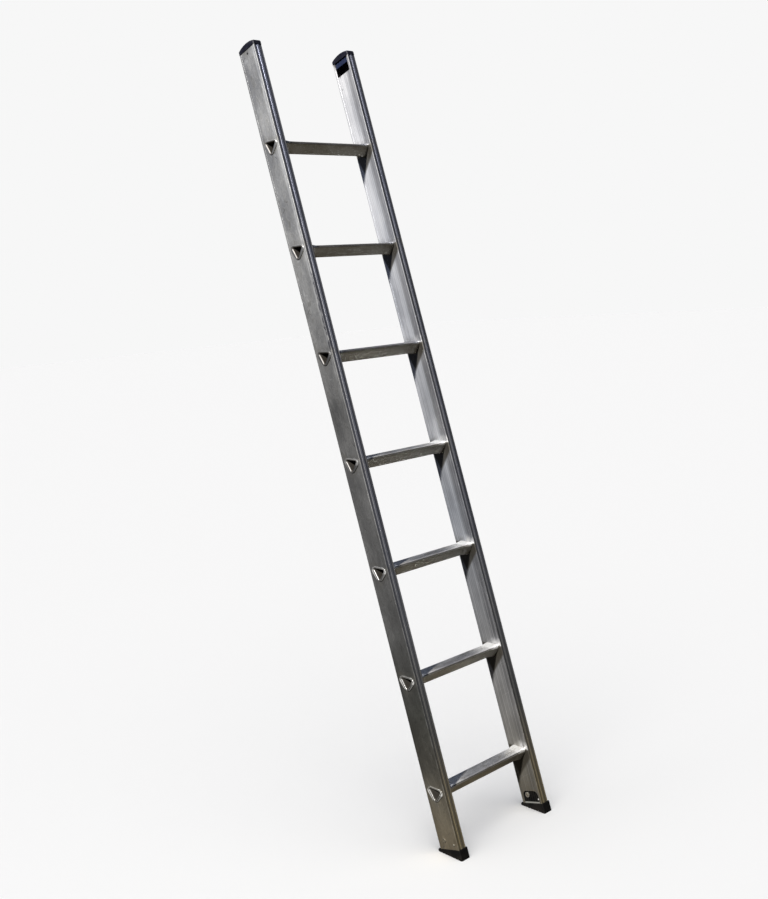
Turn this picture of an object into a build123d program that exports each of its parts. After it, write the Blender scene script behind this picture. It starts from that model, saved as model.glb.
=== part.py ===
from build123d import *
import os
from math import cos, radians, sin, tan

# A straight aluminium ladder section. It is drawn in its own frame, in millimetres: X runs along
# the rungs, Y from the climber's side towards the wall, and Z up the stiles, with Z = 0 at the
# stiles' sawn lower ends. At the end every piece is leaned back and stood on the floor.

# Layout
LEAN = 15.0  # degrees from vertical at which the treads are level and the soles lie flat
RUNG_COUNT = 7
RUNG_PITCH = 280.0
FIRST_RUNG = RUNG_PITCH / 2
TOP_REACH = 260.0
OUTER_WIDTH = 338.0
STILE_LENGTH = FIRST_RUNG + (RUNG_COUNT - 1) * RUNG_PITCH + TOP_REACH
RUNG_HEIGHTS = [FIRST_RUNG + step * RUNG_PITCH for step in range(RUNG_COUNT)]

# Stile extrusion: a closed box with a sunk field on its broad faces and two flutes on its edges
STILE_WIDTH = 24.5
STILE_DEPTH = 69.0
STILE_CORNER = 2.5
FIELD_SINK = 0.4
FIELD_DEPTH = 56.0
BROAD_WALL = 1.8
EDGE_WALL = 2.6
FLUTE_WIDTH = 7.0
FLUTE_SINK = 1.0
FLUTE_OFFSET = 6.25
CAVITY_WIDTH = STILE_WIDTH - 2 * (FIELD_SINK + BROAD_WALL)
CAVITY_DEPTH = STILE_DEPTH - 2 * EDGE_WALL
CAVITY_CORNER = 1.5
STILE_X = (OUTER_WIDTH - STILE_WIDTH) / 2
FACE_OUT = OUTER_WIDTH / 2 - FIELD_SINK
LAND_IN = OUTER_WIDTH / 2 - STILE_WIDTH
FACE_IN = LAND_IN + FIELD_SINK
CUT_DEPTH = BROAD_WALL + 2 * FIELD_SINK

# Openings in the stiles' inner walls
ARCH_WIDTH = 53.0
ARCH_MIDDLE = -1.0
ARCH_HEIGHT = 33.0
ARCH_CORNER = 13.0
NOTCH_WIDTH = 52.0
NOTCH_HEIGHT = 41.0
NOTCH_CORNER = 2.0
PILOT_RADIUS = 1.7
PILOT_Y = 20.0
PILOT_DROP = 78.0

# Rung: a rounded triangular tube, flat side up. Its outlines are three circles, each given as
# (y, z, radius): the rear and front corners are mirror images, so one stands for both
RUNG_WALL = 2.0
RUNG_CORNER = (14.5, 7.1, 4.5)
RUNG_APEX = (0.0, -12.2, 6.0)
TREAD_TOP = RUNG_CORNER[1] + RUNG_CORNER[2]
FLARE_CORNER = (15.6, 4.6, 10.4)
FLARE_APEX = (0.0, -7.0, 14.5)
HOLE_CLEARANCE = 0.15
FLARE_THICKNESS = 2.4
FLARE_EDGE = 1.0
MOUTH_ROUND = 4.0
BEAD_GROW = 3.2
BEAD_COLLAR = 4.0
BEAD_TAPER = 8.4
BEAD_TAPER_LENGTH = 21.0
BEAD_LENGTH = BEAD_COLLAR + BEAD_TAPER_LENGTH
BEAD_ROUND = 10.0
TREAD_GROOVES = 7
TREAD_GROOVE_PITCH = 4.0
TREAD_GROOVE_WIDTH = 1.6
TREAD_GROOVE_DEPTH = 0.5

# Plug that both end fittings push into the stile
PLUG_GAP = 0.25
PLUG_WIDTH = CAVITY_WIDTH - 2 * PLUG_GAP
PLUG_DEPTH = CAVITY_DEPTH - 2 * PLUG_GAP
PLUG_IN = STILE_X - PLUG_WIDTH / 2
PLUG_SKIN = 2.6
PLUG_TAPER = 1.0

# Top cap
CAP_PROUD = 1.0
CAP_END_HEIGHT = 10.0
CAP_CROWN_HEIGHT = 17.0
CAP_CORNER = 5.0
CAP_EDGE_ROUND = 4.5
CAP_PLUG_LENGTH = 15.0
CAP_RIB_SPACING = 11.0
CAP_RIB_GROOVES = 5
CAP_RIB_GROOVE_WIDTH = 4.0
CAP_RIB_GROOVE_DEPTH = 0.9
CAP_RIVET = (0.0, STILE_LENGTH - 9.5)

# Foot: a wedge whose sole is level when the ladder leans
FOOT_SIDE_PROUD = 2.5
FOOT_FRONT_PROUD = 3.5
FOOT_REAR_PROUD = 7.0
FOOT_REAR_THICKNESS = 5.0
FOOT_CORNER = 3.5
FOOT_RIM_ROUND = 1.2
FOOT_PLUG_LENGTH = 42.0
FOOT_PAD_HEIGHT = 4.0
FOOT_RIB_SPACING = 8.0
FOOT_RIB_GROOVES = 7
FOOT_RIB_GROOVE_WIDTH = 4.5
FOOT_RIB_GROOVE_DEPTH = 2.5
SOLE_GROOVE_PITCH = 9.0
SOLE_GROOVE_WIDTH = 3.0
SOLE_GROOVE_DEPTH = 1.6
SOLE_GROOVES = 7
FOOT_WIDTH = STILE_WIDTH + 2 * FOOT_SIDE_PROUD
FOOT_REAR = STILE_DEPTH / 2 + FOOT_REAR_PROUD
FOOT_FRONT = -STILE_DEPTH / 2 - FOOT_FRONT_PROUD
FOOT_FRONT_THICKNESS = FOOT_REAR_THICKNESS + (FOOT_REAR - FOOT_FRONT) * tan(radians(LEAN))

# Fasteners
RIVET_RADIUS = 1.6
RIVET_HEAD_RADIUS = 2.9
RIVET_HEAD_HEIGHT = 1.2
RIVET_HEAD_ROUND = 1.0
RIVET_DIMPLE_RADIUS = 1.0
RIVET_DIMPLE_DEPTH = 0.8
RIVET_LENGTH = 4.2
RIVET_SEAT = 4.0
FIT = 0.05
OUTER_FOOT_RIVET = (-20.0, 12.0)
INNER_FOOT_RIVET = (-23.6, 10.0)
BOLT_SPOT = (11.5, 22.0)
BOLT_RADIUS = 4.0
BOLT_HEAD_RADIUS = 6.0
BOLT_HEAD_HEIGHT = 1.8
BOLT_HEAD_ROUND = 1.3
BOLT_SOCKET_RADIUS = 2.8
BOLT_SOCKET_DEPTH = 1.4
NUT_ACROSS_FLATS = 13.0
NUT_THICKNESS = 6.5
NUT_CHAMFER = 0.8
NUT_POCKET_GAP = 0.3


def rung_plane(x, height, facing=1):
    """Section plane of a rung: it faces along X, and its own up is vertical when the ladder leans."""
    tread_direction = (0, facing * cos(radians(LEAN)), facing * sin(radians(LEAN)))
    return Plane(origin=(x, 0, height), x_dir=tread_direction, z_dir=(facing, 0, 0))


def rounded_triangle(corner, apex, grow=0.0):
    """Add the hull of two mirrored corner circles and an apex circle, all made larger by grow."""
    with Locations((corner[0], corner[1]), (-corner[0], corner[1])):
        Circle(corner[2] + grow)
    with Locations((apex[0], apex[1])):
        Circle(apex[2] + grow)
    make_hull()


def make_stile(side):
    """Box stile with its rung holes and end openings; side is -1 at the left and 1 at the right."""
    middle = side * STILE_X
    with BuildPart() as stile:
        with BuildSketch():
            with Locations((middle, 0)):
                RectangleRounded(STILE_WIDTH, STILE_DEPTH, STILE_CORNER)
                with GridLocations(STILE_WIDTH, 0, 2, 1):
                    Rectangle(2 * FIELD_SINK, FIELD_DEPTH, mode=Mode.SUBTRACT)
                with GridLocations(2 * FLUTE_OFFSET, STILE_DEPTH, 2, 2):
                    SlotOverall(FLUTE_WIDTH, 2 * FLUTE_SINK, mode=Mode.SUBTRACT)
                RectangleRounded(CAVITY_WIDTH, CAVITY_DEPTH, CAVITY_CORNER, mode=Mode.SUBTRACT)
        extrude(amount=STILE_LENGTH)

        with BuildSketch(*[rung_plane(middle, height) for height in RUNG_HEIGHTS]):
            rounded_triangle(RUNG_CORNER, RUNG_APEX, HOLE_CLEARANCE)
        extrude(amount=STILE_WIDTH, both=True, mode=Mode.SUBTRACT)

        inner_wall = Plane.YZ.offset(side * LAND_IN)
        with BuildSketch(inner_wall):
            with Locations((ARCH_MIDDLE, 0)):
                Rectangle(ARCH_WIDTH, ARCH_HEIGHT, align=(Align.CENTER, Align.MIN))
            fillet(vertices().group_by(Axis.Y)[-1], ARCH_CORNER)
        extrude(amount=side * CUT_DEPTH, mode=Mode.SUBTRACT)
        with BuildSketch(inner_wall):
            with Locations((0, STILE_LENGTH)):
                Rectangle(NOTCH_WIDTH, NOTCH_HEIGHT, align=(Align.CENTER, Align.MAX))
            fillet(vertices().group_by(Axis.Y)[0], NOTCH_CORNER)
        extrude(amount=side * CUT_DEPTH, mode=Mode.SUBTRACT)
        with BuildSketch(inner_wall):
            with Locations((PILOT_Y, STILE_LENGTH - PILOT_DROP)):
                Circle(PILOT_RADIUS)
        extrude(amount=side * CUT_DEPTH, mode=Mode.SUBTRACT)

        outer_wall = Plane.YZ.offset(side * (FACE_OUT + FIELD_SINK))
        with BuildSketch(outer_wall):
            with Locations(OUTER_FOOT_RIVET, CAP_RIVET):
                Circle(RIVET_RADIUS + FIT)
            with Locations(BOLT_SPOT):
                Circle(BOLT_RADIUS + FIT)
        extrude(amount=-side * CUT_DEPTH, mode=Mode.SUBTRACT)
    return stile


def make_rung():
    """Rung tube on the X axis: grooved tread, swollen inside each stile and flared outside it."""
    with BuildPart() as rung:
        with BuildSketch(rung_plane(0, 0)):
            rounded_triangle(RUNG_CORNER, RUNG_APEX)
        extrude(amount=FACE_OUT + FLARE_THICKNESS, both=True)
        for side in (-1, 1):
            with BuildSketch(rung_plane(side * FACE_OUT, 0)):
                rounded_triangle(FLARE_CORNER, FLARE_APEX)
            extrude(amount=side * FLARE_THICKNESS)
            flare_rim = faces().sort_by(Axis.X)[0 if side < 0 else -1].outer_wire()
            fillet(flare_rim.edges(), FLARE_EDGE)
            collar_end = FACE_IN - BEAD_COLLAR
            with BuildSketch(rung_plane(side * collar_end, 0, -side)) as bead:
                rounded_triangle(RUNG_CORNER, RUNG_APEX, BEAD_GROW)
            extrude(amount=-BEAD_COLLAR)
            extrude(bead.sketch, amount=BEAD_TAPER_LENGTH, taper=BEAD_TAPER)
            shoulder = [edge for edge in edges() if abs(edge.center().X - side * collar_end) < FIT]
            fillet(shoulder, BEAD_ROUND)
        with BuildSketch(rung_plane(0, 0)):
            rounded_triangle(RUNG_CORNER, RUNG_APEX, -RUNG_WALL)
        extrude(amount=OUTER_WIDTH, both=True, mode=Mode.SUBTRACT)
        end_faces = [faces().sort_by(Axis.X)[0], faces().sort_by(Axis.X)[-1]]
        mouths = [edge for face in end_faces for edge in face.inner_wires()[0].edges()]
        fillet(mouths, MOUTH_ROUND)
        with BuildSketch(rung_plane(0, 0)):
            with Locations((0, TREAD_TOP)):
                with GridLocations(TREAD_GROOVE_PITCH, 0, TREAD_GROOVES, 1):
                    Rectangle(TREAD_GROOVE_WIDTH, 2 * TREAD_GROOVE_DEPTH)
        extrude(amount=FACE_IN - BEAD_LENGTH, both=True, mode=Mode.SUBTRACT)
    return rung


def make_cap(side):
    """Domed plastic cap over the stile's upper end, with a hollow ribbed plug below it."""
    middle = side * STILE_X
    rear = STILE_DEPTH / 2 + CAP_PROUD
    shoulder = STILE_LENGTH + CAP_END_HEIGHT
    with BuildPart() as cap:
        with BuildSketch(Plane.YZ.offset(middle)):
            with BuildLine():
                Polyline((-rear, shoulder), (-rear, STILE_LENGTH), (rear, STILE_LENGTH), (rear, shoulder))
                ThreePointArc((-rear, shoulder), (0, STILE_LENGTH + CAP_CROWN_HEIGHT), (rear, shoulder))
            make_face()
            fillet(vertices().group_by(Axis.Y)[-1], CAP_CORNER)
        extrude(amount=STILE_WIDTH / 2 + CAP_PROUD, both=True)
        side_edges = faces().filter_by(Axis.X).edges()
        fillet([edge for edge in side_edges if edge.center().Z > STILE_LENGTH + FIT], CAP_EDGE_ROUND)

        with BuildSketch(Plane.XY.offset(STILE_LENGTH)):
            with Locations((middle, 0)):
                Rectangle(PLUG_WIDTH, PLUG_DEPTH)
                fillet(vertices(), CAVITY_CORNER)
                with Locations((-side * PLUG_WIDTH / 2, 0)):
                    with GridLocations(0, CAP_RIB_SPACING, 1, CAP_RIB_GROOVES):
                        Rectangle(2 * CAP_RIB_GROOVE_DEPTH, CAP_RIB_GROOVE_WIDTH, mode=Mode.SUBTRACT)
        extrude(amount=-CAP_PLUG_LENGTH)
        with BuildSketch(Plane.XY.offset(STILE_LENGTH)):
            with Locations((middle, 0)):
                Rectangle(PLUG_WIDTH - 2 * PLUG_SKIN, PLUG_DEPTH - 2 * PLUG_SKIN)
        extrude(amount=-CAP_PLUG_LENGTH, mode=Mode.SUBTRACT)
        with BuildSketch(Plane.YZ.offset(side * FACE_OUT)):
            with Locations(CAP_RIVET):
                Circle(RIVET_RADIUS + FIT)
        extrude(amount=-side * (RIVET_LENGTH + PLUG_SKIN), mode=Mode.SUBTRACT)
    return cap


def make_foot(side):
    """Wedge foot with a grooved level sole, pushed into the stile by a ribbed plug."""
    middle = side * STILE_X
    plug_face = side * PLUG_IN
    with BuildPart() as foot:
        with BuildSketch(Plane.YZ.offset(middle)):
            with BuildLine():
                Polyline(
                    (FOOT_REAR, 0),
                    (FOOT_REAR, -FOOT_REAR_THICKNESS),
                    (FOOT_FRONT, -FOOT_FRONT_THICKNESS),
                    (FOOT_FRONT, 0),
                    close=True,
                )
            make_face()
        extrude(amount=FOOT_WIDTH / 2, both=True)
        fillet(edges().filter_by(Axis.Z), FOOT_CORNER)
        fillet(faces().sort_by(Axis.Z)[-1].edges(), FOOT_RIM_ROUND)
        sole = Plane(
            origin=(middle, FOOT_REAR, -FOOT_REAR_THICKNESS),
            x_dir=(1, 0, 0),
            z_dir=(0, sin(radians(LEAN)), -cos(radians(LEAN))),
        )
        sole_length = (FOOT_REAR - FOOT_FRONT) / cos(radians(LEAN))
        with BuildSketch(sole):
            with Locations((0, sole_length / 2)):
                with GridLocations(0, SOLE_GROOVE_PITCH, 1, SOLE_GROOVES):
                    Rectangle(2 * FOOT_WIDTH, SOLE_GROOVE_WIDTH)
        extrude(amount=-SOLE_GROOVE_DEPTH, mode=Mode.SUBTRACT)

        with BuildSketch():
            with Locations((middle, 0)):
                Rectangle(PLUG_WIDTH, PLUG_DEPTH)
                fillet(vertices(), CAVITY_CORNER)
        extrude(amount=FOOT_PLUG_LENGTH)
        chamfer(faces().sort_by(Axis.Z)[-1].edges(), PLUG_TAPER)
        with BuildSketch(Plane.XY.offset(FOOT_PAD_HEIGHT)):
            with Locations((plug_face, 0)):
                with GridLocations(0, FOOT_RIB_SPACING, 1, FOOT_RIB_GROOVES):
                    Rectangle(2 * FOOT_RIB_GROOVE_DEPTH, FOOT_RIB_GROOVE_WIDTH)
        extrude(amount=FOOT_PLUG_LENGTH, mode=Mode.SUBTRACT)
        with BuildSketch(Plane.YZ.offset(side * FACE_IN)):
            with Locations((ARCH_MIDDLE, 0)):
                Rectangle(ARCH_WIDTH - 2 * PLUG_GAP, FOOT_PAD_HEIGHT, align=(Align.CENTER, Align.MIN))
        extrude(amount=side * (BROAD_WALL + PLUG_GAP + PLUG_SKIN))

        with BuildSketch(Plane.YZ.offset(middle)):
            with Locations(BOLT_SPOT):
                Circle(BOLT_RADIUS + NUT_POCKET_GAP)
        extrude(amount=STILE_WIDTH, both=True, mode=Mode.SUBTRACT)
        with BuildSketch(Plane.YZ.offset(side * (FACE_IN + NUT_THICKNESS))):
            with Locations(BOLT_SPOT):
                RegularPolygon(NUT_ACROSS_FLATS / 2 + NUT_POCKET_GAP, 6, major_radius=False)
        extrude(amount=-side * NUT_THICKNESS, mode=Mode.SUBTRACT)
        outer_bore = disc(side * FACE_OUT, OUTER_FOOT_RIVET, RIVET_RADIUS + FIT)
        extrude(outer_bore, amount=-side * (RIVET_LENGTH + FIT), mode=Mode.SUBTRACT)
        extrude(disc(plug_face, INNER_FOOT_RIVET, RIVET_HEAD_RADIUS + FIT), amount=side * RIVET_SEAT)
        inner_bore = disc(plug_face, INNER_FOOT_RIVET, RIVET_RADIUS + FIT)
        extrude(inner_bore, amount=side * (RIVET_LENGTH + FIT), mode=Mode.SUBTRACT)
    return foot


def disc(x, spot, radius):
    """Disc facing along X, centred on one spot (y, z)."""
    with BuildSketch(Plane.YZ.offset(x)) as sketch:
        with Locations(spot):
            Circle(radius)
    return sketch.sketch


def make_rivet(face, inward, spot):
    """Blind rivet: its dimpled head stands on the face and its shank points inward."""
    head_end = face - inward * RIVET_HEAD_HEIGHT
    with BuildPart() as rivet:
        extrude(disc(face, spot, RIVET_HEAD_RADIUS), amount=-inward * RIVET_HEAD_HEIGHT)
        fillet(faces().sort_by(Axis.X)[0 if inward > 0 else -1].edges(), RIVET_HEAD_ROUND)
        extrude(disc(face, spot, RIVET_RADIUS), amount=inward * RIVET_LENGTH)
        dimple = disc(head_end, spot, RIVET_DIMPLE_RADIUS)
        extrude(dimple, amount=inward * RIVET_DIMPLE_DEPTH, mode=Mode.SUBTRACT)
    return rivet


def make_foot_bolt(side):
    """Button-head bolt through the stile's outer wall and the foot's plug."""
    with BuildPart() as bolt:
        with BuildSketch(Plane.YZ.offset(side * FACE_OUT)):
            with Locations(BOLT_SPOT):
                Circle(BOLT_HEAD_RADIUS)
        extrude(amount=side * BOLT_HEAD_HEIGHT)
        head_end = faces().sort_by(Axis.X)[-1 if side > 0 else 0]
        fillet(head_end.edges(), BOLT_HEAD_ROUND)
        with BuildSketch(Plane.YZ.offset(side * (FACE_OUT + BOLT_HEAD_HEIGHT))):
            with Locations(BOLT_SPOT):
                RegularPolygon(BOLT_SOCKET_RADIUS, 6)
        extrude(amount=-side * BOLT_SOCKET_DEPTH, mode=Mode.SUBTRACT)
        with BuildSketch(Plane.YZ.offset(side * FACE_OUT)):
            with Locations(BOLT_SPOT):
                Circle(BOLT_RADIUS)
        extrude(amount=-side * (FACE_OUT - FACE_IN))
        shank_end = faces().sort_by(Axis.X)[0 if side > 0 else -1]
        chamfer(shank_end.edges(), PLUG_TAPER / 2)
    return bolt


def make_foot_nut(side):
    """Hexagon nut, let into the plug behind the arch in the stile's inner wall."""
    with BuildPart() as nut:
        with BuildSketch(Plane.YZ.offset(side * FACE_IN)):
            with Locations(BOLT_SPOT):
                Circle(NUT_ACROSS_FLATS / 2 / cos(radians(30)))
        extrude(amount=side * NUT_THICKNESS)
        chamfer(edges().filter_by(GeomType.CIRCLE), NUT_CHAMFER / 2, NUT_CHAMFER)
        with BuildSketch(Plane.YZ.offset(side * FACE_IN)):
            with Locations(BOLT_SPOT):
                RegularPolygon(NUT_ACROSS_FLATS / 2, 6, major_radius=False)
        extrude(amount=side * NUT_THICKNESS, mode=Mode.INTERSECT)
        with BuildSketch(Plane.YZ.offset(side * FACE_IN)):
            with Locations(BOLT_SPOT):
                Circle(BOLT_RADIUS + FIT)
        extrude(amount=side * NUT_THICKNESS, mode=Mode.SUBTRACT)
    return nut


rung_tube = make_rung().part
pieces = {}
for number, height in enumerate(RUNG_HEIGHTS):
    pieces[f"rung_{number + 1}"] = rung_tube.moved(Location((0, 0, height)))
for side_name, side_sign in (("left", -1), ("right", 1)):
    pieces[f"{side_name}_stile"] = make_stile(side_sign).part
    pieces[f"{side_name}_top_cap"] = make_cap(side_sign).part
    cap_rivet = make_rivet(side_sign * FACE_OUT, -side_sign, CAP_RIVET)
    pieces[f"{side_name}_cap_rivet"] = cap_rivet.part
    pieces[f"{side_name}_foot"] = make_foot(side_sign).part
    pieces[f"{side_name}_foot_bolt"] = make_foot_bolt(side_sign).part
    pieces[f"{side_name}_foot_nut"] = make_foot_nut(side_sign).part
    outer_foot_rivet = make_rivet(side_sign * FACE_OUT, -side_sign, OUTER_FOOT_RIVET)
    pieces[f"{side_name}_outer_foot_rivet"] = outer_foot_rivet.part
    inner_foot_rivet = make_rivet(side_sign * PLUG_IN, side_sign, INNER_FOOT_RIVET)
    pieces[f"{side_name}_inner_foot_rivet"] = inner_foot_rivet.part

# Lean the ladder back on its soles and centre its footprint on the origin.
leaning = Location((0, 0, 0), (-LEAN, 0, 0))
foot_box = pieces["left_foot"].moved(leaning).bounding_box()
cap_box = pieces["left_top_cap"].moved(leaning).bounding_box()
standing = Location((0, -(foot_box.min.Y + cap_box.max.Y) / 2, -foot_box.min.Z)) * leaning

os.makedirs("parts", exist_ok=True)
for piece_name, piece in pieces.items():
    placed = piece.moved(standing)
    placed.label = piece_name
    export_step(placed, f"parts/{piece_name}.step")
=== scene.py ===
import math

import bpy
from mathutils import Matrix, Vector


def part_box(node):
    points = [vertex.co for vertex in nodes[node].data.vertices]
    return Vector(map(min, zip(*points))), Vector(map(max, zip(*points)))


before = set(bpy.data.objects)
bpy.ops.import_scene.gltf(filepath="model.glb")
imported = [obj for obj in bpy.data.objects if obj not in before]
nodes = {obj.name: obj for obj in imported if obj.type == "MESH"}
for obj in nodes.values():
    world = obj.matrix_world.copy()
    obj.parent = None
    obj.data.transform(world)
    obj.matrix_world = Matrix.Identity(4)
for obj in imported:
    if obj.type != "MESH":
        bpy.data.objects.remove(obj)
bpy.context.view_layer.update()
scene = bpy.context.scene

# All lengths are in metres.
LEAN = math.radians(15)      # how far the stiles lean back
PITCH = 0.280                # from rung to rung along the stile
FIRST_RUNG = 0.140           # the lowest rung above the stiles' lower ends, along the stile
STILE_LENGTH = 2.080
STILE_MIDDLE = 0.15675       # a stile's mid-thickness, from the ladder's middle plane
FLARE_TOP = 0.0150           # the flared lip's top above the rung's centre
TREAD_HEIGHT = 0.0116        # the flat tread above the rung's centre
SLANT_ACROSS, SLANT_DOWN = 0.8352, -0.5499    # a rung's slanted side: which way it faces,
SLANT_DISTANCE = 0.01271                      # and how far it is from the rung's centre
SIDES = ("left", "right")
RUNGS = [f"rung_{number}" for number in range(1, 8)]

# Ladder coordinates: x along the rungs, y through the stiles' depth, z up the stiles from their
# lower ends.
rung_low, rung_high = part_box("rung_1")
rung_centre = Vector((0, (rung_low[1] + rung_high[1]) / 2, rung_high[2] - FLARE_TOP))
to_ladder = (Matrix.Translation((0, 0, FIRST_RUNG)) @ Matrix.Rotation(LEAN, 4, "X")
             @ Matrix.Translation(-rung_centre))


# ---------------------------------------------------------------- camera
CAMERA_PLACE = (-1.8995, -2.0951, 1.3828)
CAMERA_LENS = 43.66
CAMERA_SENSOR = 36.0
AZIMUTH, PITCH_DOWN, ROLL = math.radians(41.484), math.radians(8.176), math.radians(4.459)

camera_data = bpy.data.cameras.new("camera")
camera_data.sensor_fit = "AUTO"
camera_data.sensor_width = CAMERA_SENSOR
camera_data.lens = CAMERA_LENS
camera_data.clip_end = 100.0
camera = bpy.data.objects.new("camera", camera_data)
scene.collection.objects.link(camera)
scene.camera = camera
camera.location = CAMERA_PLACE
aim = Vector((math.sin(AZIMUTH) * math.cos(PITCH_DOWN), math.cos(AZIMUTH) * math.cos(PITCH_DOWN),
              -math.sin(PITCH_DOWN)))
camera.rotation_mode = "QUATERNION"
camera.rotation_quaternion = (aim.to_track_quat("-Z", "Y")
                              @ Matrix.Rotation(-ROLL, 4, "Z").to_quaternion())


# ---------------------------------------------------------------- node helpers
class Nodes:
    """A node tree, with short ways to add to it. Values may be numbers, colours or node outputs."""

    def __init__(self, tree):
        self.tree = tree

    def add(self, kind, **values):
        node = self.tree.nodes.new(kind)
        for key, value in values.items():
            setattr(node, key, value)
        return node

    def link(self, source, target):
        if isinstance(source, (int, float, tuple, list)):
            target.default_value = source
        else:
            self.tree.links.new(source, target)

    def math(self, operation, a, b=0.0, c=0.0, clamp=False):
        node = self.add("ShaderNodeMath", operation=operation, use_clamp=clamp)
        for value, socket in zip((a, b, c), node.inputs):
            self.link(value, socket)
        return node.outputs[0]

    def plus(self, first, *rest, clamp=False):
        for value in rest:
            first = self.math("ADD", first, value, clamp=clamp)
        return first

    def minus(self, first, second, clamp=False):
        return self.math("SUBTRACT", first, second, clamp=clamp)

    def times(self, first, *rest):
        for value in rest:
            first = self.math("MULTIPLY", first, value)
        return first

    def either(self, first, *rest):
        for value in rest:
            first = self.math("MAXIMUM", first, value)
        return first

    def ramp(self, value, low, high, out_low=0.0, out_high=1.0):
        """Smooth step from out_low at low to out_high at high; low may be the larger of the two."""
        if low > high:
            low, high, out_low, out_high = high, low, out_high, out_low
        node = self.add("ShaderNodeMapRange", interpolation_type="SMOOTHSTEP")
        for number, socket in zip((value, low, high, out_low, out_high), node.inputs[:5]):
            self.link(number, socket)
        return node.outputs[0]

    def between(self, factor, out_low, out_high):
        """From out_low where the factor is 0 to out_high where it is 1."""
        return self.ramp(factor, 0.0, 1.0, out_low, out_high)

    def band(self, value, low, high, soft):
        """1 between low and high, fading to 0 over soft on each side."""
        return self.times(self.ramp(value, low - soft, low), self.ramp(value, high + soft, high))

    def mix(self, factor, a, b, blend="MIX"):
        node = self.add("ShaderNodeMix", data_type="RGBA", blend_type=blend)
        self.link(factor, node.inputs["Factor"])
        for value, socket in ((a, node.inputs[6]), (b, node.inputs[7])):
            self.link((*value, 1.0) if isinstance(value, tuple) else value, socket)
        return node.outputs[2]

    def darken(self, factor, colour, by):
        return self.mix(factor, colour, by, "MULTIPLY")

    def lighten(self, factor, colour, by):
        return self.mix(factor, colour, by, "DODGE")

    def stops(self, value, low, high, colours):
        """Colour along a value: colours is a list of (value, colour), in order."""
        node = self.add("ShaderNodeValToRGB")
        self.link(self.math("DIVIDE", self.minus(value, low), high - low, clamp=True),
                  node.inputs[0])
        elements = node.color_ramp.elements
        while len(elements) < len(colours):
            elements.new(0.5)
        for element, (place, colour) in zip(elements, colours):
            if not isinstance(colour, tuple):
                colour = (colour, colour, colour)
            element.position = (place - low) / (high - low)
            element.color = (*colour, 1.0)
        return node.outputs[0]


class Shader(Nodes):
    """A material in ladder coordinates."""

    def __init__(self, name):
        self.material = bpy.data.materials.new(name)
        self.material.use_nodes = True
        super().__init__(self.material.node_tree)
        self.surface = self.tree.nodes["Principled BSDF"]
        turned = self.add("ShaderNodeMapping", vector_type="POINT")
        self.link(self.add("ShaderNodeTexCoord").outputs["Object"], turned.inputs["Vector"])
        turned.inputs["Rotation"].default_value = (LEAN, 0, 0)
        turned.inputs["Location"].default_value = to_ladder.to_translation()
        self.place = turned.outputs["Vector"]
        split = self.add("ShaderNodeSeparateXYZ")
        self.link(self.place, split.inputs[0])
        self.x, self.y, self.z = split.outputs
        self.side = self.math("ABSOLUTE", self.x)     # from the ladder's middle plane
        self.depth = self.math("ABSOLUTE", self.y)    # from the stiles' mid-depth

    def set(self, **values):
        for name, value in values.items():
            self.link(value, self.surface.inputs[name.replace("_", " ")])

    def up(self, colours):
        """Colour along the stile, from its lower end."""
        return self.stops(self.z, 0.0, STILE_LENGTH, colours)

    def noise(self, scale, turn=(0, 0, 0), shift=(0, 0, 0), detail=3.0, roughness=0.5,
              distortion=0.0):
        """Noise with its own frequency along each turned axis, in cells per metre."""
        place = self.add("ShaderNodeMapping", vector_type="TEXTURE")
        self.link(self.place, place.inputs["Vector"])
        place.inputs["Scale"].default_value = [1 / value for value in scale]
        place.inputs["Rotation"].default_value = turn
        place.inputs["Location"].default_value = shift
        node = self.add("ShaderNodeTexNoise")
        self.link(place.outputs["Vector"], node.inputs["Vector"])
        node.inputs["Scale"].default_value = 1.0
        node.inputs["Detail"].default_value = detail
        node.inputs["Roughness"].default_value = roughness
        node.inputs["Distortion"].default_value = distortion
        return node.outputs["Fac"]

    def scratches(self, across, along, turns, threshold, long_axis=2):
        """Thin broken lines in several directions about the x axis (stiles) or z axis (rungs)."""
        found = None
        for number, angle in enumerate(turns):
            scale = [across] * 3
            scale[long_axis] = along
            turn = (angle, 0, 0) if long_axis == 2 else (0, 0, angle)
            shift = (0.3 * number, 0.17 * number, 0.23 * number)
            lines = self.noise(scale, turn, shift, detail=1.5)
            lines = self.ramp(lines, threshold, threshold + 0.04)
            found = lines if found is None else self.either(found, lines)
        return found

    def bump(self, height, distance, strength=1.0):
        node = self.add("ShaderNodeBump")
        node.inputs["Strength"].default_value = strength
        node.inputs["Distance"].default_value = distance
        self.link(height, node.inputs["Height"])
        normal = self.surface.inputs["Normal"]
        if normal.links:
            self.link(normal.links[0].from_socket, node.inputs["Normal"])
        self.link(node.outputs["Normal"], normal)

    def rung_frame(self):
        """Level coordinates about the nearest rung's centre, and the distance out of its outline."""
        along = self.minus(self.math("FLOORED_MODULO", self.z, PITCH), FIRST_RUNG)
        cosine, sine = math.cos(LEAN), math.sin(LEAN)
        self.across = self.plus(self.times(self.y, cosine), self.times(along, sine))
        self.height = self.minus(self.times(along, cosine), self.times(self.y, sine))
        above = self.minus(self.height, TREAD_HEIGHT)
        beside = self.plus(self.times(self.math("ABSOLUTE", self.across), SLANT_ACROSS),
                           self.math("MULTIPLY_ADD", self.height, SLANT_DOWN, -SLANT_DISTANCE))
        self.outline = self.either(above, beside)

    def give(self, names):
        for name in names:
            for slot in nodes[name].material_slots:
                slot.material = self.material


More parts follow.
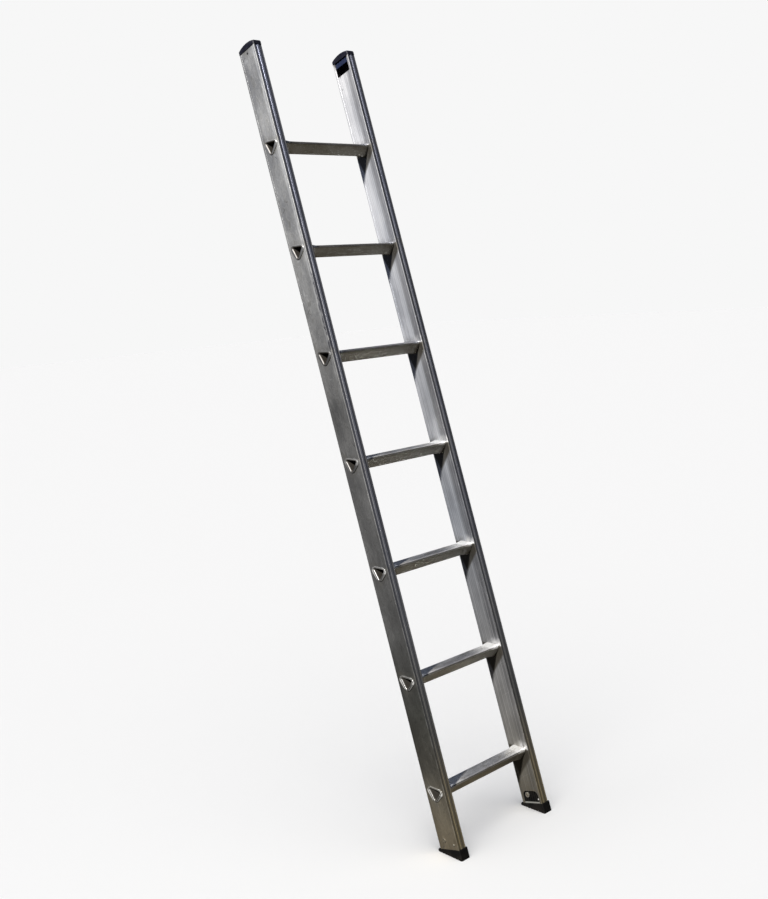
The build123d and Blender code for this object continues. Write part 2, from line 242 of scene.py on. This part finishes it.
# ---------------------------------------------------------------- stiles
# Where each part of the surface starts, and where it is fully there.
OUTER_FACE = (0.1672, 0.1684)
INNER_FACE = (0.1462, 0.1451)
FRONT_AND_REAR = (0.0328, 0.0338)
CORNER_DEPTH = (0.0318, 0.0338)
CORNER_SIDE = (0.0087, 0.0098)
RIB = (0.0026, 0.0018)
HOLLOW_SIDE = (0.1463, 0.1672)      # the box's inside, between its walls
HOLLOW_DEPTH = (0.0324, 0.0321)

stile = Shader("stile_aluminium_worn")
stile.rung_frame()
outer = stile.ramp(stile.side, *OUTER_FACE)
inner = stile.ramp(stile.side, *INNER_FACE)
cavity = stile.times(stile.band(stile.side, *HOLLOW_SIDE, 0.0001),
                     stile.ramp(stile.depth, *HOLLOW_DEPTH))
edge = stile.times(stile.ramp(stile.depth, *FRONT_AND_REAR), stile.minus(1.0, outer))
clouds = stile.noise((16, 16, 7), detail=5.0, roughness=0.62)
mottle = stile.noise((70, 70, 45), shift=(1, 2, 3), detail=4.0, roughness=0.65, distortion=0.6)
speckle = stile.noise((260, 260, 200), shift=(4, 1, 2), detail=3.0, roughness=0.7)
streaks = stile.noise((800, 800, 2.5), detail=2.0)
draw_lines = stile.noise((260, 260, 0.7), shift=(3, 3, 3), detail=2.0, roughness=0.6)
waves = stile.noise((12, 12, 40), shift=(7, 7, 7), detail=3.0, roughness=0.5)
scuffs = stile.scratches(600, 14, (0.0, 0.25, -0.4, 1.2), 0.68)
knocks = stile.scratches(150, 26, (0.9, -0.7), 0.70)
chips = stile.noise((240, 240, 130), shift=(5, 5, 5), detail=3.0, roughness=0.6)
chips = stile.ramp(chips, 0.60, 0.66)

# the outer faces: dull and mottled, lighter towards the top, darker and browner towards the feet
outer_colour = stile.up([
    (0.00, (0.25, 0.215, 0.155)), (0.10, (0.20, 0.18, 0.14)), (0.20, (0.12, 0.115, 0.10)),
    (0.34, (0.095, 0.096, 0.088)), (0.56, (0.155, 0.156, 0.156)), (0.84, (0.235, 0.236, 0.236)),
    (1.12, (0.20, 0.20, 0.198)), (1.40, (0.34, 0.342, 0.342)), (1.70, (0.52, 0.523, 0.52)),
    (2.08, (0.47, 0.473, 0.475))])
cloudy = stile.ramp(clouds, 0.35, 0.68, 0.25, 0.0)
stained = stile.ramp(mottle, 0.5, 0.68, 0.0, 0.7)
bright = stile.ramp(mottle, 0.47, 0.32, 0.0, 0.5)
outer_colour = stile.darken(cloudy, outer_colour, (0.55, 0.55, 0.56))
outer_colour = stile.darken(stained, outer_colour, (0.45, 0.45, 0.44))
outer_colour = stile.lighten(bright, outer_colour, (0.55, 0.55, 0.54))
outer_colour = stile.lighten(stile.times(scuffs, 0.35), outer_colour, (0.45, 0.45, 0.44))
front_land = stile.times(stile.ramp(stile.y, -0.018, -0.026),
                         stile.ramp(stile.y, -0.0300, -0.0275, 0.2, 1.0),
                         stile.ramp(stile.z, 0.9, 1.9))
outer_colour = stile.mix(stile.times(front_land, 0.55), outer_colour, (0.82, 0.83, 0.84))

# the inner faces: cleaner, with the bands that the drawing die left; lighter towards the top as
# painted light, and darker towards the feet as painted shade with some dirt
inner_colour = stile.up([
    (0.00, (0.38, 0.36, 0.32)), (0.15, (0.44, 0.43, 0.41)), (0.35, (0.50, 0.50, 0.50)),
    (0.70, (0.55, 0.56, 0.58)), (1.10, (0.68, 0.70, 0.74)), (1.60, (0.84, 0.86, 0.90)),
    (2.08, (0.97, 0.97, 0.98))])
# the front strip of the inner face is darker, most of all at middle heights
front_band = stile.ramp(stile.y, -0.008, -0.016)
front_strip_darkening = stile.math("MINIMUM", stile.ramp(stile.z, 0.25, 0.45, 0.45, 0.85),
                        stile.ramp(stile.z, 1.1, 1.6, 0.85, 0.55))
dark_lines = stile.times(stile.ramp(draw_lines, 0.42, 0.62), 0.32)
bright_lines = stile.times(stile.ramp(draw_lines, 0.45, 0.30), 0.5)
dusty = stile.times(stile.ramp(clouds, 0.5, 0.75), 0.25)
# darker towards the feet: painted shade, with some dirt low down
dirt_and_shade = stile.up([
    (0.00, (0.55, 0.53, 0.48)), (0.10, (0.60, 0.59, 0.55)), (0.24, (0.82, 0.82, 0.82)),
    (0.50, (0.67, 0.68, 0.70)), (0.80, (0.84, 0.87, 0.92)), (1.05, (1.0, 1.0, 1.0)),
    (STILE_LENGTH, (1.0, 1.0, 1.0))])
inner_colour = stile.mix(stile.times(front_band, front_strip_darkening), inner_colour, (0.22, 0.22, 0.23))
inner_colour = stile.mix(dark_lines, inner_colour, (0.30, 0.30, 0.31))
inner_colour = stile.mix(bright_lines, inner_colour, (0.92, 0.92, 0.93))
inner_colour = stile.mix(dusty, inner_colour, (0.28, 0.27, 0.25))
inner_colour = stile.mix(stile.times(scuffs, 0.35), inner_colour, (0.9, 0.9, 0.9))
inner_colour = stile.darken(1.0, inner_colour, dirt_and_shade)

# the edges: bluish towards the top and olive-brown low down as a painted reflection of sky and
# trees, painted shade in the flutes, and a polished rib between them
flute = stile.math("ABSOLUTE", stile.minus(stile.side, STILE_MIDDLE))
rib = stile.ramp(flute, *RIB)
edge_colour = stile.up([
    (0.00, (0.36, 0.30, 0.17)), (0.12, (0.32, 0.27, 0.17)), (0.28, (0.17, 0.165, 0.145)),
    (0.56, (0.26, 0.26, 0.26)), (0.84, (0.26, 0.26, 0.275)), (1.12, (0.29, 0.29, 0.305)),
    (1.40, (0.32, 0.325, 0.35)), (1.68, (0.21, 0.22, 0.27)), (2.08, (0.27, 0.285, 0.36))])
# the right stile's edges darker, more so higher up
right_edge_darkening = stile.up([
    (0.00, 0.90), (0.30, 0.78), (0.90, 0.68), (1.40, 0.53), (1.65, 0.60), (2.00, 0.45)])
edge_colour = stile.mix(stile.ramp(stile.x, -0.01, 0.01), edge_colour,
                        stile.darken(1.0, edge_colour, right_edge_darkening))
edge_colour = stile.darken(stile.ramp(clouds, 0.45, 0.7), edge_colour, (0.65, 0.64, 0.62))
# painted shade in the flutes, higher up
grooves = stile.times(stile.band(flute, 0.0036, 0.0092, 0.0006), stile.ramp(stile.z, 0.9, 1.4))
edge_colour = stile.darken(grooves, edge_colour, (0.50, 0.50, 0.53))
# painted shade on the +x side of each stile's rib, higher up
right_of_rib = stile.times(stile.math("SIGN", stile.x), stile.minus(stile.side, STILE_MIDDLE))
right_of_rib = stile.times(stile.ramp(right_of_rib, 0.0015, 0.0030),
                           stile.ramp(stile.z, 0.5, 0.9))
edge_colour = stile.darken(right_of_rib, edge_colour, (0.46, 0.46, 0.47))
polished_rib = stile.times(rib, stile.ramp(stile.z, 0.2, 1.6, 0.10, 0.5))
edge_colour = stile.mix(polished_rib, edge_colour, (0.60, 0.61, 0.66))

# the corners: dulled, and darkened with painted shade that is strongest higher up, with worn spots
# low down
colour = stile.mix(outer, inner_colour, outer_colour)
colour = stile.mix(edge, colour, edge_colour)
corner = stile.times(stile.ramp(stile.depth, *CORNER_DEPTH), stile.ramp(flute, *CORNER_SIDE))
corner_shade = stile.up([
    (0.00, 0.62), (0.80, 0.45), (1.20, 0.24), (1.60, 0.09), (1.90, 0.13), (STILE_LENGTH, 0.14)])
colour = stile.darken(corner, colour, corner_shade)
worn_corner = stile.times(corner, stile.ramp(mottle, 0.46, 0.60),
                          stile.ramp(stile.z, 0.3, 1.2, 0.06, 0.0))
colour = stile.mix(worn_corner, colour, (0.70, 0.70, 0.70))

# damage: a chewed front edge half way up, chips along the corners, and knocks on the outer faces
bite_line = stile.ramp(waves, 0.40, 0.58, -0.0345, -0.0265)
bitten = stile.times(stile.ramp(stile.minus(stile.y, bite_line), 0.0012, -0.0004),
                     stile.ramp(stile.side, 0.1655, 0.1665),
                     stile.band(stile.z, 1.28, 1.46, 0.02))
rear_chips = stile.times(chips, outer, stile.ramp(stile.y, 0.026, 0.030),
                         stile.band(stile.z, 1.41, 1.47, 0.01))
corner_chips = stile.times(corner, chips, stile.band(stile.z, 0.95, 1.38, 0.05))
dented = stile.either(corner_chips, rear_chips)
colour = stile.mix(stile.times(dented, 0.8), colour, (0.12, 0.12, 0.14))
colour = stile.darken(bitten, colour, (0.38, 0.38, 0.42))
colour = stile.mix(stile.times(knocks, outer, 0.5), colour, (0.10, 0.10, 0.10))

# around each rung: a stain, a lighter patch above the tread that is rubbing and painted reflection,
# and painted shade in the crevice below it
near_rung = stile.times(stile.ramp(stile.outline, 0.020, 0.004), stile.ramp(mottle, 0.35, 0.6))
colour = stile.mix(stile.times(near_rung, 0.35), colour, (0.16, 0.15, 0.13))
# lighter above the tread: rubbing and painted reflection
rub_and_reflection = stile.times(inner, stile.ramp(stile.height, 0.008, 0.014),
                     stile.ramp(stile.height, 0.036, 0.018), stile.ramp(stile.y, 0.0, -0.015),
                     stile.ramp(mottle, 0.34, 0.52), stile.ramp(stile.z, 1.6, 1.2))
colour = stile.mix(stile.times(rub_and_reflection, 0.5), colour, (0.92, 0.92, 0.92))
# painted shade under the rung's end
crevice_shade = stile.times(inner, stile.ramp(stile.outline, 0.028, 0.020),
                      stile.ramp(stile.height, 0.015, 0.009))
colour = stile.mix(stile.times(crevice_shade, 0.9), colour, (0.075, 0.067, 0.052))

# mud splashes at the feet, and painted shade inside the box, near black
splash = stile.times(stile.ramp(stile.z, 0.14, 0.0), stile.ramp(speckle, 0.5, 0.62))
colour = stile.mix(stile.times(splash, 0.5), colour, (0.22, 0.18, 0.12))
colour = stile.mix(cavity, colour, (0.006, 0.006, 0.007))
stile.set(Base_Color=colour)

shine = stile.ramp(clouds, 0.3, 0.7, 0.36, 0.50)
shine = stile.plus(shine, stile.times(stile.ramp(mottle, 0.4, 0.65), outer, 0.12))
shine = stile.minus(shine, stile.times(rib, 0.08))
shine = stile.plus(shine, stile.times(corner, stile.ramp(stile.z, 0.6, 1.4), 0.30))
shine = stile.plus(shine, stile.times(cavity, 0.4), clamp=True)
bleached = stile.times(stile.ramp(stile.z, 1.3, 1.95),
                       stile.ramp(stile.y, -0.020, 0.024, 0.03, 0.17), inner)
dull_corner = stile.times(corner, stile.ramp(stile.z, 0.9, 1.3), 0.85)
metallic = stile.minus(stile.between(cavity, 0.88, 0.0), stile.either(bleached, dull_corner),
                       clamp=True)
stile.set(Roughness=shine, Metallic=metallic)

broad = stile.minus(1.0, stile.either(edge, corner))
stile.bump(streaks, 0.00004)
stile.bump(stile.times(draw_lines, broad), 0.00025)
stile.bump(stile.times(mottle, broad, stile.between(outer, 0.3, 1.0)), 0.0006)
stile.bump(scuffs, -0.00006)
stile.bump(stile.either(stile.times(knocks, outer, 0.4), dented), -0.0003)
stile.give([f"{side}_stile" for side in SIDES])


# ---------------------------------------------------------------- rungs
TREAD = (0.0062, 0.0108)
GROOVE_FLOOR = (0.01145, 0.01125)
GROOVE_WALLS = (0.0106, 0.0109)
GROOVE_ENDS = (0.121, 0.119)
BEAD = (0.118, 0.136)
FLARE = (0.1680, 0.1686)
BORE = (-0.0010, -0.0016)

rung = Shader("rung_aluminium_worn")
rung.rung_frame()
clouds = rung.noise((9, 30, 30), detail=5.0, roughness=0.6)
grease = rung.noise((34, 60, 60), shift=(2, 5, 1), detail=4.0, roughness=0.62, distortion=0.5)
streaks = rung.noise((3, 700, 700), detail=2.0)
marks = rung.scratches(520, 24, (1.57, 1.2, 1.9, 0.4), 0.67, long_axis=0)
patchy = rung.ramp(clouds, 0.35, 0.65)
tread = rung.ramp(rung.height, *TREAD)
groove = rung.times(rung.ramp(rung.height, *GROOVE_WALLS), rung.ramp(rung.height, *GROOVE_FLOOR),
                    rung.ramp(rung.side, *GROOVE_ENDS))
bead = rung.ramp(rung.side, *BEAD)
flare = rung.ramp(rung.side, *FLARE)
bore = rung.ramp(rung.outline, *BORE)
upper_rungs = rung.ramp(rung.z, 1.00, 1.25)

# the slanted sides
colour = rung.mix(patchy, (0.36, 0.35, 0.31), (0.52, 0.51, 0.47))
colour = rung.darken(1.0, colour, rung.up([
    (0.14, 1.0), (0.42, 0.85), (0.70, 0.78), (1.26, 0.66), (STILE_LENGTH, 0.66)]))

# the treads: lighter towards the stiles on the lower rungs, dark on the upper ones
tread_colour = rung.mix(patchy, (0.40, 0.40, 0.40), (0.56, 0.56, 0.56))
lower_tread_ends = rung.times(rung.ramp(rung.side, 0.040, 0.138), rung.between(upper_rungs, 1.0, 0.15))
greasy = rung.times(rung.ramp(grease, 0.52, 0.68), 0.4)
tread_colour = rung.mix(rung.times(lower_tread_ends, 0.85), tread_colour, (0.64, 0.64, 0.63))
tread_colour = rung.mix(rung.times(upper_rungs, 0.85), tread_colour, (0.08, 0.085, 0.11))
tread_colour = rung.mix(greasy, tread_colour, (0.28, 0.26, 0.23))
colour = rung.mix(tread, colour, tread_colour)
colour = rung.mix(rung.times(rung.ramp(grease, 0.5, 0.66), 0.35), colour, (0.22, 0.20, 0.16))
colour = rung.mix(rung.times(groove, 0.6), colour, (0.13, 0.12, 0.11))

# the swollen ends, with dirt where they meet the stile
polished = rung.times(bead, rung.ramp(grease, 0.62, 0.45), rung.between(upper_rungs, 0.7, 0.15))
colour = rung.mix(polished, colour, (0.50, 0.50, 0.49))
colour = rung.mix(rung.times(marks, 0.45), colour, (0.85, 0.85, 0.84))
foot_of_bead = rung.times(rung.ramp(rung.side, 0.1436, 0.1446),
                          rung.ramp(rung.side, 0.1500, 0.1455))
colour = rung.mix(rung.times(foot_of_bead, 0.5), colour, (0.10, 0.09, 0.08))

# the flares: lighter on the higher rungs, with painted shade on the mouth, thin lips that are worn
# and carry a painted highlight, and painted shade inside the tube
flare_colour = rung.up([
    (0.14, (0.13, 0.125, 0.11)), (0.42, (0.11, 0.11, 0.105)), (0.70, (0.15, 0.15, 0.15)),
    (0.98, (0.19, 0.19, 0.19)), (1.26, (0.24, 0.24, 0.235)), (1.54, (0.36, 0.36, 0.355)),
    (1.82, (0.48, 0.48, 0.475))])
smeared = rung.times(rung.ramp(grease, 0.5, 0.62), 0.5)
flare_colour = rung.darken(smeared, flare_colour, (0.6, 0.6, 0.6))
rear_lip = rung.times(rung.ramp(rung.across, 0.0, 0.006), rung.ramp(rung.height, 0.009, 0.004))
front_lip = rung.times(rung.ramp(rung.across, -0.009, -0.013),
                       rung.ramp(rung.height, -0.002, 0.003))
# the lips' edges: wear with a painted highlight, strongest on the rear and front sides
lip_wear_and_highlight = rung.either(rung.ramp(rung.outline, 0.0028, 0.0033),
                       rung.band(rung.outline, -0.0002, 0.0004, 0.0004))
lip_wear_and_highlight = rung.times(lip_wear_and_highlight, rung.between(rung.either(rear_lip, front_lip), 0.25, 0.70))
# painted shade on the mouth's slope, higher up
slope = rung.times(rung.ramp(rung.outline, 0.0014, 0.0002), rung.ramp(rung.z, 0.5, 1.2))
flare_colour = rung.darken(slope, flare_colour, (0.30, 0.29, 0.28))
# painted highlight on the rear side of the mouth's slope
flare_colour = rung.mix(rung.times(slope, rear_lip, 0.22), flare_colour, (0.52, 0.49, 0.47))
# lighter lip edges, stronger low down: wear and painted highlight
low_lip = rung.times(lip_wear_and_highlight, rung.ramp(rung.z, 1.1, 0.6, 0.12, 0.9))
flare_colour = rung.mix(low_lip, flare_colour, (0.82, 0.82, 0.81))
colour = rung.mix(flare, colour, flare_colour)
# painted shade inside the tube, near black
colour = rung.mix(bore, colour, (0.022, 0.019, 0.015))
rung.set(Base_Color=colour)

shine = rung.ramp(clouds, 0.3, 0.7, 0.34, 0.48)
shine = rung.minus(shine, rung.times(rung.either(bead, flare, tread), 0.08))
shine = rung.plus(shine, rung.times(rung.either(groove, bore, rung.times(slope, flare)), 0.3),
                  clamp=True)
burnish = rung.times(lower_tread_ends, rung.ramp(rung.height, -0.006, 0.006), 0.35)
dusty_lip = rung.times(lip_wear_and_highlight, flare, rung.ramp(rung.z, 1.3, 0.5), 0.5)
metallic = rung.minus(rung.between(bore, 0.90, 0.1), rung.either(burnish, dusty_lip), clamp=True)
rung.set(Roughness=shine, Metallic=metallic)
rung.bump(streaks, 0.00004)
rung.bump(rung.times(grease, rung.between(bead, 0.25, 1.0)), 0.0005)
rung.bump(marks, -0.00006)
rung.give(RUNGS)


# ---------------------------------------------------------------- caps and feet
SPECULAR = "Specular IOR Level"

cap = Shader("cap_plastic_black")
grain = cap.noise((1500, 1500, 1500), detail=2.0)
haze = cap.noise((60, 60, 60), detail=4.0, roughness=0.6)
rubs = cap.scratches(500, 30, (0.3, 1.3, -0.8), 0.68)
plug = cap.ramp(cap.z, STILE_LENGTH - 0.001, STILE_LENGTH - 0.003)
dust = cap.times(cap.ramp(cap.z, STILE_LENGTH + 0.006, STILE_LENGTH + 0.017),
                 cap.ramp(haze, 0.45, 0.7), 0.12)
colour = cap.mix(cap.ramp(haze, 0.4, 0.7), (0.004, 0.004, 0.008), (0.008, 0.008, 0.014))
colour = cap.mix(cap.times(rubs, 0.2), colour, (0.06, 0.06, 0.07))
colour = cap.mix(cap.times(plug, 0.8), colour, (0.010, 0.016, 0.042))
colour = cap.mix(dust, colour, (0.25, 0.24, 0.22))
cap.set(Base_Color=colour, Roughness=cap.ramp(haze, 0.3, 0.7, 0.38, 0.55))
cap.surface.inputs[SPECULAR].default_value = 0.22
cap.bump(grain, 0.00006)
cap.bump(haze, 0.0002)
cap.give([f"{side}_top_cap" for side in SIDES])

foot = Shader("foot_rubber_black")
grain = foot.noise((900, 900, 900), detail=3.0)
haze = foot.noise((45, 45, 45), detail=5.0, roughness=0.65)
grit = foot.noise((500, 500, 500), shift=(3, 1, 2), detail=2.0)
sole = foot.times(foot.ramp(foot.z, -0.004, -0.020), foot.ramp(grit, 0.54, 0.66), 0.06)
# a lighter band along the pad's rim by the inner face: painted highlight
pad_rim_highlight = foot.times(foot.ramp(foot.side, 0.1462, 0.1452),
                     foot.band(foot.z, 0.0004, 0.006, 0.0004), 0.75)
colour = foot.mix(foot.ramp(haze, 0.35, 0.7), (0.0022, 0.0022, 0.0022), (0.005, 0.0045, 0.004))
colour = foot.mix(sole, colour, (0.20, 0.17, 0.13))
colour = foot.mix(pad_rim_highlight, colour, (0.14, 0.14, 0.13))
foot.set(Base_Color=colour, Roughness=foot.ramp(haze, 0.3, 0.7, 0.60, 0.85))
foot.surface.inputs[SPECULAR].default_value = 0.06
foot.bump(grain, 0.0001)
foot.bump(haze, 0.0003)
foot.give([f"{side}_foot" for side in SIDES])


# ---------------------------------------------------------------- fasteners
def fastener(kind, name, clean, stained, roughness, metallic=0.95):
    """Turned or pressed metal, stained in patches, with fine marks, for one kind on both sides."""
    metal = Shader(name)
    stains = metal.noise((220, 220, 220), detail=4.0, roughness=0.65)
    fine = metal.noise((2200, 2200, 2200), detail=2.0)
    metal.set(Base_Color=metal.mix(metal.ramp(stains, 0.42, 0.66), clean, stained))
    metal.set(Roughness=metal.ramp(stains, 0.3, 0.7, roughness, roughness + 0.2))
    metal.surface.inputs["Metallic"].default_value = metallic
    metal.bump(fine, 0.00003)
    metal.bump(stains, 0.0001)
    metal.give([f"{side}_{kind}" for side in SIDES])


fastener("inner_foot_rivet", "rivet_aluminium_bright", (0.45, 0.45, 0.44), (0.24, 0.23, 0.21), 0.30)
fastener("outer_foot_rivet", "rivet_aluminium_dull", (0.22, 0.21, 0.18), (0.12, 0.11, 0.09), 0.50)
fastener("cap_rivet", "rivet_steel_dark", (0.06, 0.06, 0.065), (0.03, 0.028, 0.025), 0.45)
fastener("foot_bolt", "bolt_zinc_dull", (0.20, 0.18, 0.14), (0.13, 0.115, 0.09), 0.52)
fastener("foot_nut", "nut_zinc_bright", (0.50, 0.48, 0.43), (0.26, 0.24, 0.20), 0.32, 0.9)


# ---------------------------------------------------------------- studio
FLOOR_HALF = 30.0
FLOOR_COLOUR = (0.82, 0.82, 0.82, 1)
BACKDROP = (0.93, 0.93, 0.93)       # what the camera sees past the floor

floor_mesh = bpy.data.meshes.new("floor")
corners = [(-FLOOR_HALF, -FLOOR_HALF, 0), (FLOOR_HALF, -FLOOR_HALF, 0),
           (FLOOR_HALF, FLOOR_HALF, 0), (-FLOOR_HALF, FLOOR_HALF, 0)]
floor_mesh.from_pydata(corners, [], [(0, 1, 2, 3)])
floor = bpy.data.objects.new("floor", floor_mesh)
scene.collection.objects.link(floor)
floor.visible_glossy = False
floor.visible_diffuse = False
floor_shader = bpy.data.materials.new("floor_pale")
floor_shader.use_nodes = True
floor_surface = floor_shader.node_tree.nodes["Principled BSDF"]
floor_surface.inputs["Base Color"].default_value = FLOOR_COLOUR
floor_surface.inputs["Roughness"].default_value = 1.0
floor_surface.inputs[SPECULAR].default_value = 0.0
floor_mesh.materials.append(floor_shader)

# The metal reflects a dim room: its colour by height, from straight down to straight up, for the
# half behind the ladder and the half ahead of it.
BEHIND = [
    (-1.00, (0.10, 0.085, 0.055)), (-0.45, (0.09, 0.075, 0.05)), (-0.30, (0.035, 0.034, 0.032)),
    (-0.10, (0.035, 0.040, 0.052)), (0.05, (0.042, 0.056, 0.098)), (0.18, (0.055, 0.072, 0.125)),
    (0.40, (0.11, 0.125, 0.165)), (0.65, (0.20, 0.22, 0.28)), (1.00, (0.22, 0.25, 0.32))]
AHEAD = [
    (-1.00, (0.17, 0.145, 0.10)), (-0.50, (0.15, 0.125, 0.085)), (-0.25, (0.10, 0.095, 0.08)),
    (-0.08, (0.085, 0.088, 0.098)), (0.10, (0.08, 0.088, 0.12)), (0.35, (0.10, 0.115, 0.16)),
    (0.60, (0.14, 0.16, 0.22)), (1.00, (0.22, 0.26, 0.34))]

world = bpy.data.worlds.new("studio")
scene.world = world
world.use_nodes = True
sky = Nodes(world.node_tree)
background = world.node_tree.nodes["Background"]
split = sky.add("ShaderNodeSeparateXYZ")
sky.link(sky.add("ShaderNodeTexCoord").outputs["Generated"], split.inputs[0])
east, north, up = split.outputs
behind, ahead = (sky.stops(up, -1.0, 1.0, colours) for colours in (BEHIND, AHEAD))
facing = sky.plus(sky.times(east, 0.9), sky.times(north, -0.3))
around = sky.mix(sky.ramp(facing, -0.6, 0.25), behind, ahead)
seen = sky.add("ShaderNodeLightPath").outputs["Is Camera Ray"]
sky.link(sky.mix(seen, around, BACKDROP), background.inputs["Color"])
background.inputs["Strength"].default_value = 1.0


def sun(name, energy, angle, travel, colour, lit):
    """Distant light that travels along a direction and lights only the given objects."""
    data = bpy.data.lights.new(name, "SUN")
    data.energy = energy
    data.angle = math.radians(angle)
    data.color = colour
    light = bpy.data.objects.new(name, data)
    scene.collection.objects.link(light)
    light.rotation_mode = "QUATERNION"
    light.rotation_quaternion = Vector(travel).to_track_quat("-Z", "Y")
    receivers = bpy.data.collections.new(f"{name}_receivers")
    for lit_object in lit:
        receivers.objects.link(lit_object)
    light.light_linking.receiver_collection = receivers


sun("key", 10.0, 4.0, (0.747, 0.163, -0.648), (1.0, 0.975, 0.94), nodes.values())
sun("fill", 1.0, 30.0, (-0.96, -0.18, -0.22), (0.95, 0.97, 1.0), nodes.values())
sun("floor_light", 3.21, 75.0, (0.25, 0.15, -0.95), (1.0, 0.972, 0.911), [floor])

scene.view_settings.view_transform = "Standard"
